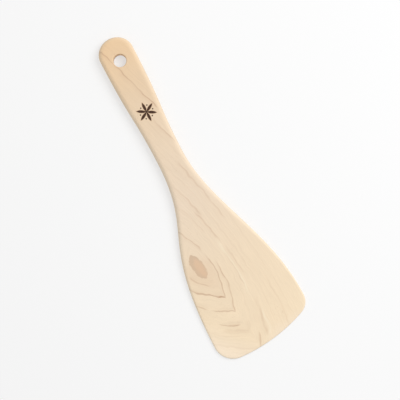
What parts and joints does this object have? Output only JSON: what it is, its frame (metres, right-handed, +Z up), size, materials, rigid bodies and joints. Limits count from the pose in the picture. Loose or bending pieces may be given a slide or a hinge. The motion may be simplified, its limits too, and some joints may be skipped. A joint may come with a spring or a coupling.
{
  "type": "wok turner",
  "caption": "One-piece wooden wok turner: waisted flat handle with a hanging hole, flaring into a broad tapered blade with a convex, slanted front edge.",
  "frame": {"origin": "on the flat underside, under the middle of the part's box", "axes": "+Y along the handle, away from the blade; +Z up out of the tapered face; +X to the right when the blade points at the viewer"},
  "size_m": [0.0918, 0.305, 0.0095],
  "materials": {
    "maple": "sanded and oiled, satin"
  },
  "bodies": {
    "root": {"turner_body": "maple"}
  },
  "joints": []
}
